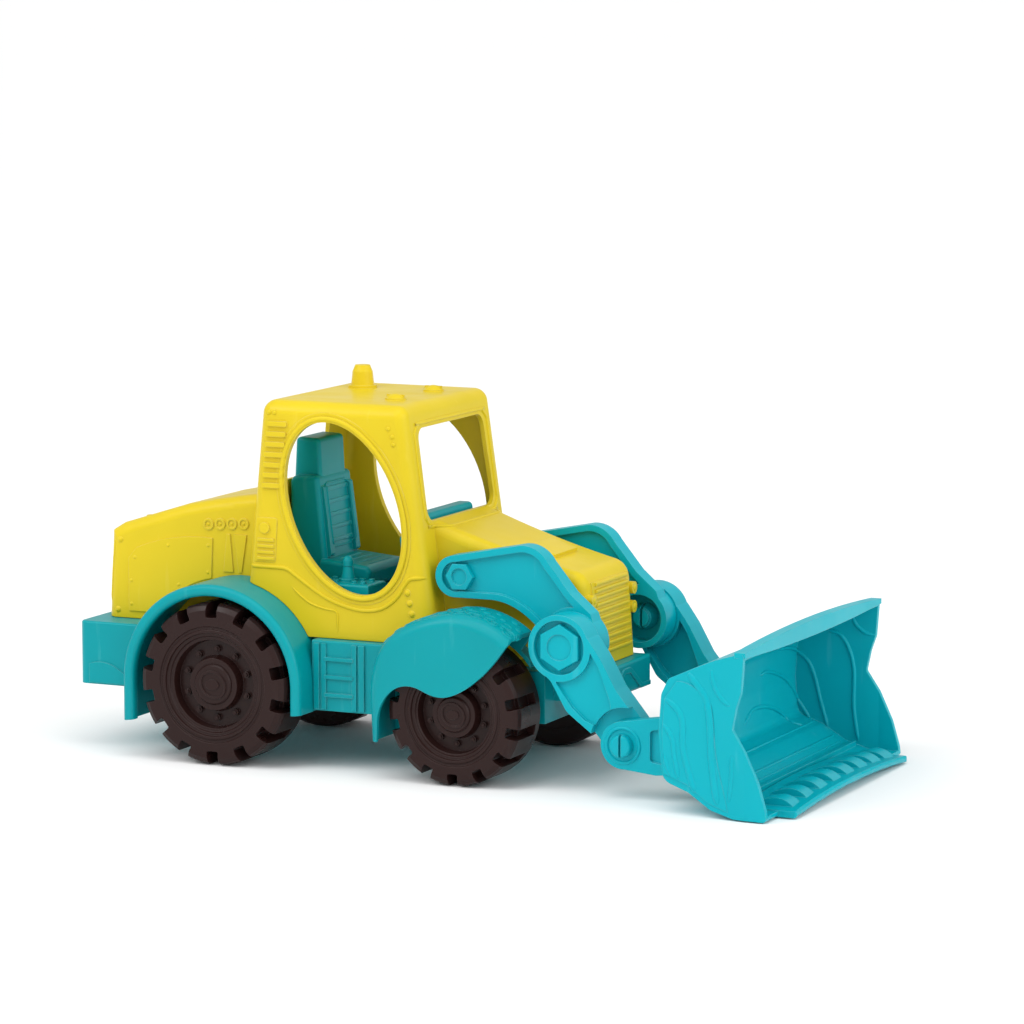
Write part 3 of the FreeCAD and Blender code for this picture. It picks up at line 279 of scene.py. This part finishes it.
def paint_nodes(materials):
    """Each CAD node takes the material of its slot in the record."""
    slots = {part["node"]: part["material_slot"] for part in frame["record"]["subparts"]}
    for name, obj in NODES.items():
        obj.data.materials.clear()
        obj.data.materials.append(materials[slots[name]])


# ---- raised lines, rings and studs laid on the moulded surfaces ------------------------------------
# Points are millimetres from the rear axle's place on the ground: forwards, left, up.
JOINTS = {joint["name"]: Vector(joint["pos_m"]) for joint in frame["joints"]}
AXLE_X = JOINTS["rear_axle_spin"].x


def place(x, y, z):
    return Vector((AXLE_X + x * MM, y * MM, z * MM))


def surface(node_name):
    """Search tree over a CAD node's mesh, for finding where a line lands on it."""
    mesh = NODES[node_name].data
    return BVHTree.FromPolygons([vertex.co.copy() for vertex in mesh.vertices],
                                [tuple(face.vertices) for face in mesh.polygons])


def smooth(points, closed, step):
    """Catmull-Rom curve through the points, sampled about every step."""
    count = len(points)
    samples = []

    def point(i):
        return points[i % count if closed else min(max(i, 0), count - 1)]

    for i in range(count if closed else count - 1):
        p0, p1, p2, p3 = (point(i + k) for k in (-1, 0, 1, 2))
        parts = max(1, round((p2 - p1).length / step))
        for j in range(parts):
            t = j / parts
            samples.append(0.5 * (2 * p1 + (p2 - p0) * t + (2 * p0 - 5 * p1 + 4 * p2 - p3) * t * t
                                  + (3 * p1 - p0 - 3 * p2 + p3) * t ** 3))
    if not closed:
        samples.append(points[-1])
    return samples


def landed(tree, starts, aim):
    """Where rays from the starts along aim (a direction, or a function of the start) meet the surface."""
    places = []
    for start in starts:
        direction = aim(start) if callable(aim) else aim
        spot, normal, _, _ = tree.ray_cast(start, direction.normalized())
        if spot is not None:
            places.append((spot, -normal if normal.dot(direction) > 0 else normal))
    return places


BEAD_STEP = 1.3              # mm between the samples of a bead
BEAD_SIDES = 6               # facets across a half-round bead
TAPER = 4.0                  # samples over which a bead's open end tapers out
SUNK = 0.25 * MM             # how far a bead's foot lies under the surface
SHARP_ANGLE = math.radians(50)


def add_bead(mesh, places, width, height, closed=False):
    """Half-round line along the places; its open ends taper out."""
    count = len(places)
    if count < 3:
        return
    rings = []
    for i, (spot, normal) in enumerate(places):
        before = places[i - 1 if closed else max(i - 1, 0)][0]
        after = places[(i + 1) % count if closed else min(i + 1, count - 1)][0]
        across = normal.cross(after - before).normalized()
        travelled = min(i, count - 1 - i)
        fade = 1.0 if closed else min(1.0, (travelled + 0.4) / TAPER)
        ring = []
        for k in range(BEAD_SIDES + 1):
            turn = math.pi * k / BEAD_SIDES
            offset = across * (math.cos(turn) * width / 2 * (0.4 + 0.6 * fade))
            rise = math.sin(turn) * (height * fade + SUNK) - SUNK
            ring.append(mesh.verts.new(spot + offset + normal * rise))
        rings.append(ring)
    for i in range(count if closed else count - 1):
        here, there = rings[i], rings[(i + 1) % count]
        for k in range(len(here)):
            mesh.faces.new((here[k], here[k - 1], there[k - 1], there[k]))
    if not closed:
        mesh.faces.new(rings[0])
        mesh.faces.new(list(reversed(rings[-1])))


def add_stud(mesh, spot, normal, radius, height, sides=16, levels=4):
    """Low rounded stud standing on the surface."""
    first = normal.orthogonal().normalized()
    second = normal.cross(first)
    rings = []
    for level in range(levels):
        lift = math.pi / 2 * level / levels
        reach, rise = radius * math.cos(lift), (height + SUNK) * math.sin(lift) - SUNK
        ring = []
        for k in range(sides):
            turn = 2 * math.pi * k / sides
            sideways = first * (reach * math.cos(turn)) + second * (reach * math.sin(turn))
            ring.append(mesh.verts.new(spot + normal * rise + sideways))
        rings.append(ring)
    top = mesh.verts.new(spot + normal * height)
    for low, high in zip(rings, rings[1:]):
        for k in range(sides):
            mesh.faces.new((low[k - 1], low[k], high[k], high[k - 1]))
    for k in range(sides):
        mesh.faces.new((rings[-1][k - 1], rings[-1][k], top))
    mesh.faces.new(list(reversed(rings[0])))


class Relief:
    """One mesh of raised details on one CAD node, riding on that node's body."""

    def __init__(self, node_name):
        self.node = node_name
        self.tree = surface(node_name)
        self.mesh = bmesh.new()

    def line(self, points, aim, width, height, closed=False, step=BEAD_STEP):
        starts = smooth([place(*p) for p in points], closed, step * MM)
        add_bead(self.mesh, landed(self.tree, starts, aim), width * MM, height * MM, closed)

    def stud(self, point, aim, radius, height):
        for spot, normal in landed(self.tree, [place(*point)], aim):
            add_stud(self.mesh, spot, normal, radius * MM, height * MM)

    def finish(self, body, slot):
        bmesh.ops.recalc_face_normals(self.mesh, faces=self.mesh.faces)
        for edge in self.mesh.edges:
            edge.smooth = edge.calc_face_angle(0.0) < SHARP_ANGLE
        data = bpy.data.meshes.new(self.node + "_relief")
        self.mesh.to_mesh(data)
        self.mesh.free()
        for face in data.polygons:
            face.use_smooth = True
        data.materials.append(MATERIALS[slot])
        piece = bpy.data.objects.new(self.node + "_relief", data)
        bpy.context.scene.collection.objects.link(piece)
        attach(piece, body)


RIGHT, LEFT = -1, 1
FAR_OUT = 130.0              # start of the rays that come in from the side
BACKWARDS = Vector((-1, 0, 0))
DOWN = Vector((0, 0, -1))


def from_side(side):
    return Vector((0, -side, 0))


def side_line(relief, side, outline, width, height, closed=False):
    """Line drawn as (forwards, up) points on the right or left face of a node."""
    relief.line([(x, FAR_OUT * side, z) for x, z in outline], from_side(side), width, height, closed)


def front_frame(relief, start_x, outline, width, height):
    """Closed line drawn as (left, up) points on a face that looks forwards."""
    relief.line([(start_x, y, z) for y, z in outline], BACKWARDS, width, height, closed=True)


# -- cab and hoods
WINDOW_CENTRE, WINDOW_HALF, WINDOW_TILT = (72.7, 151.3), (34.2, 51.9), math.radians(23.3)
WINDOW_RIM = 2.2             # from the window's edge to the middle of its raised rim
BELT = [(10.5, 114.8), (23.0, 114.8), (35.0, 114.4), (41.5, 110.8), (49.0, 106.0), (56.6, 101.4),
        (65.0, 97.4), (76.0, 94.2), (86.0, 93.0), (95.0, 94.2), (102.0, 97.8), (107.5, 103.0),
        (111.5, 109.2), (115.6, 113.2), (124.0, 113.8)]
LOWER_PANEL = [(39.0, 104.0), (44.6, 99.2), (52.2, 94.6), (62.0, 92.2), (67.0, 91.6), (68.6, 89.0),
               (68.6, 79.0)]
ENGINE_COVER_END = [(-92.0, 84.0), (-90.6, 104.0), (-88.5, 122.0)]
HOOD_FOOT = [(146.0, 67.5), (180.0, 67.5), (210.0, 67.5)]
CAB_STUDS = [(25.0, 205.0), (28.5, 205.0), (101.5, 199.0), (104.0, 194.5), (104.8, 190.0)]


def oval(centre, half_size, tilt=0.0, count=24):
    """Oval as (across, up) points, leaning back by tilt radians."""
    points = []
    for i in range(count):
        turn = 2 * math.pi * i / count
        u, w = half_size[0] * math.cos(turn), half_size[1] * math.sin(turn)
        points.append((centre[0] + u * math.cos(tilt) - w * math.sin(tilt),
                       centre[1] + u * math.sin(tilt) + w * math.cos(tilt)))
    return points


def framed(half_width, low, high, corner, count=5):
    """Rounded rectangle as (across, up) points."""
    points = []
    for centre, start in (((half_width, high), 0), ((-half_width, high), 90), ((-half_width, low), 180),
                          ((half_width, low), 270)):
        inner = (centre[0] - math.copysign(corner, centre[0]),
                 centre[1] + (corner if centre[1] == low else -corner))
        for k in range(count):
            turn = math.radians(start + 90 * k / (count - 1))
            points.append((inner[0] + corner * math.cos(turn), inner[1] + corner * math.sin(turn)))
    return points


def body_relief():
    relief = Relief("body_shell")
    for side in (RIGHT, LEFT):
        rim = oval(WINDOW_CENTRE, [half + WINDOW_RIM for half in WINDOW_HALF], WINDOW_TILT, 56)
        side_line(relief, side, rim, 3.0, 0.8, closed=True)
        side_line(relief, side, BELT, 2.8, 1.1)
        side_line(relief, side, LOWER_PANEL, 1.6, 0.7)
        for x, z in CAB_STUDS:
            relief.stud((x, FAR_OUT * side, z), from_side(side), 1.5, 0.9)
        side_line(relief, side, ENGINE_COVER_END, 1.6, 0.6)
        side_line(relief, side, HOOD_FOOT, 1.6, 0.7)
    front_frame(relief, 160.0, framed(49.0, 141.6, 200.8, 9.0), 2.2, 0.9)
    relief.finish("chassis", "yellow_plastic")


# -- seat
CUSHION_LINES = (47.5, 54.0, 60.5, 67.0)


def seat_relief():
    relief = Relief("seat")
    front_frame(relief, 90.0, framed(14.8, 121.0, 159.0, 4.0), 1.3, 0.6)
    for x in CUSHION_LINES:
        relief.line([(x, y, 150.0) for y in (-16.0, -5.0, 5.0, 16.0)], DOWN, 1.3, 0.6)
    relief.finish("chassis", "teal_plastic")


# -- front mudguards: a generic band of pebbles and scroll rings over the crown
CROWN_CENTRE = (150.0, 45.0)
CROWN_REACH = 75.0           # start of the rays, outside the crown
CROWN_RADIUS = 54.0
ROW_COUNT = 9
FIRST_ROW = -48.0            # angles from straight up, in degrees
ROW_STEP = 11.0
RING_SIZES = (3.6, 2.7, 4.0)
MIDDLE_PEBBLES = (2.9, 2.3, 2.6)
INNER_PEBBLES = (2.2, 2.8, 2.5)


def toward_crown(start):
    centre = place(CROWN_CENTRE[0], 0, CROWN_CENTRE[1])
    return Vector((centre.x - start.x, 0, centre.z - start.z))


def crown_point(angle, across, side):
    """Point outside the crown at an angle from straight up, across mm from the middle plane."""
    turn = math.radians(angle)
    return (CROWN_CENTRE[0] + CROWN_REACH * math.sin(turn), across * side,
            CROWN_CENTRE[1] + CROWN_REACH * math.cos(turn))


def crown_ring(relief, side, angle, across, radius, width, height):
    """Closed ring round a spot on the crown; radius is in mm on the mudguard's surface."""
    degrees_per_mm = math.degrees(1 / CROWN_RADIUS)
    loop = [crown_point(angle + u * degrees_per_mm, across + w, side)
            for u, w in oval((0.0, 0.0), (radius, radius), count=14)]
    relief.line(loop, toward_crown, width, height, closed=True, step=0.9)


def cowl_relief(side, suffix):
    relief = Relief("front_fender_" + suffix)
    for i in range(ROW_COUNT):
        angle = FIRST_ROW + ROW_STEP * i
        between = angle + ROW_STEP / 2
        radius = RING_SIZES[i % 3]
        crown_ring(relief, side, angle, 80.5, radius, 1.1, 0.55)
        crown_ring(relief, side, angle, 80.5, radius * 0.45, 0.9, 0.5)
        crown_ring(relief, side, between, 73.5, 3.1, 1.0, 0.5)
        relief.stud(crown_point(between, 79.5, side), toward_crown, 1.6, 0.6)
        relief.stud(crown_point(angle, 66.5, side), toward_crown, MIDDLE_PEBBLES[i % 3], 0.7)
        relief.stud(crown_point(between, 60.5, side), toward_crown, INNER_PEBBLES[i % 3], 0.7)
    relief.finish("chassis", "teal_plastic")


# -- bucket
SIDE_WAVES = (               # points, width, height
    ([(305.9, 79.0), (311.9, 72.4), (317.2, 65.0), (319.6, 53.2), (320.4, 36.2), (322.0, 22.2),
      (324.4, 8.0)], 4.6, 0.9),
    ([(320.1, 82.2), (322.5, 73.2), (327.0, 66.4), (331.5, 63.3)], 3.4, 0.7),
    ([(292.0, 63.7), (296.9, 60.7), (301.5, 56.0), (303.0, 49.1), (303.1, 38.4), (306.2, 25.9),
      (310.8, 13.0)], 4.2, 0.8),
    ([(290.5, 49.3), (293.4, 46.8), (296.6, 41.5), (298.0, 32.0), (300.5, 20.0)], 3.4, 0.7),
    ([(291.5, 33.0), (293.0, 27.0), (295.6, 21.4)], 3.0, 0.6),
    ([(331.5, 10.0), (333.0, 24.0), (333.2, 36.0)], 3.0, 0.5),
)
# Ribs inside the bowl: places near its wall, reached by rays from the middle of the mouth.
BOWL_RIBS = (
    [(293.0, 14.0, 30.0), (293.0, 24.4, 35.3), (293.0, 36.9, 36.2), (293.0, 54.7, 33.4),
     (293.0, 72.8, 26.5), (296.0, 80.0, 20.0), (302.0, 86.0, 17.0)],
    [(293.0, 40.0, 54.0), (293.0, 52.0, 54.4), (293.0, 74.9, 47.9), (293.0, 90.7, 38.8),
     (294.0, 99.0, 29.0), (299.0, 103.0, 18.0)],
    [(293.0, 66.0, 65.5), (293.0, 84.9, 63.4), (293.5, 98.0, 59.0), (297.0, 103.0, 54.0),
     (301.3, 103.0, 45.0), (305.4, 103.0, 30.0), (310.0, 103.0, 15.0)],
    [(307.0, 104.0, 73.6), (311.0, 104.0, 73.3), (317.0, 104.0, 71.0), (322.1, 104.0, 64.0),
     (325.8, 104.0, 50.6), (326.0, 104.0, 27.8), (329.0, 104.0, 8.0)],
    [(324.0, 105.0, 83.0), (327.0, 105.0, 77.0), (333.0, 105.0, 72.5), (338.0, 105.0, 71.5)],
)
MOUTH_MIDDLE = (352.0, 0.0, 52.0)
FLOOR_STEPS = ((303.5, 1.6, 0.7), (316.5, 1.8, 0.8), (321.0, 1.2, 0.5))      # forwards, width, height
PIN = JOINTS["bucket_tilt"]
PIN_CENTRE = ((PIN.x - AXLE_X) / MM, PIN.z / MM)
PIN_RING_R = 9.9


def bucket_relief():
    relief = Relief("bucket")
    eye = place(*MOUTH_MIDDLE)
    for side in (RIGHT, LEFT):
        for outline, width, height in SIDE_WAVES:
            side_line(relief, side, outline, width, height)
        side_line(relief, side, oval(PIN_CENTRE, (PIN_RING_R, PIN_RING_R)), 2.4, 0.8, closed=True)
        for rib in BOWL_RIBS:
            targets = smooth([place(x, y * side, z) for x, y, z in rib], False, BEAD_STEP * MM)
            hits = []
            for target in targets:
                hits += landed(relief.tree, [eye], target - eye)
            add_bead(relief.mesh, hits, 2.6 * MM, 1.0 * MM)
    for x, width, height in FLOOR_STEPS:
        relief.line([(x, y, 60.0) for y in (-97.0, -50.0, 0.0, 50.0, 97.0)], DOWN, width, height)
    relief.finish("bucket", "arm_plastic")


add_camera()
add_studio()
MATERIALS = make_materials()
paint_nodes(MATERIALS)
body_relief()
seat_relief()
cowl_relief(RIGHT, "right")
cowl_relief(LEFT, "left")
bucket_relief()
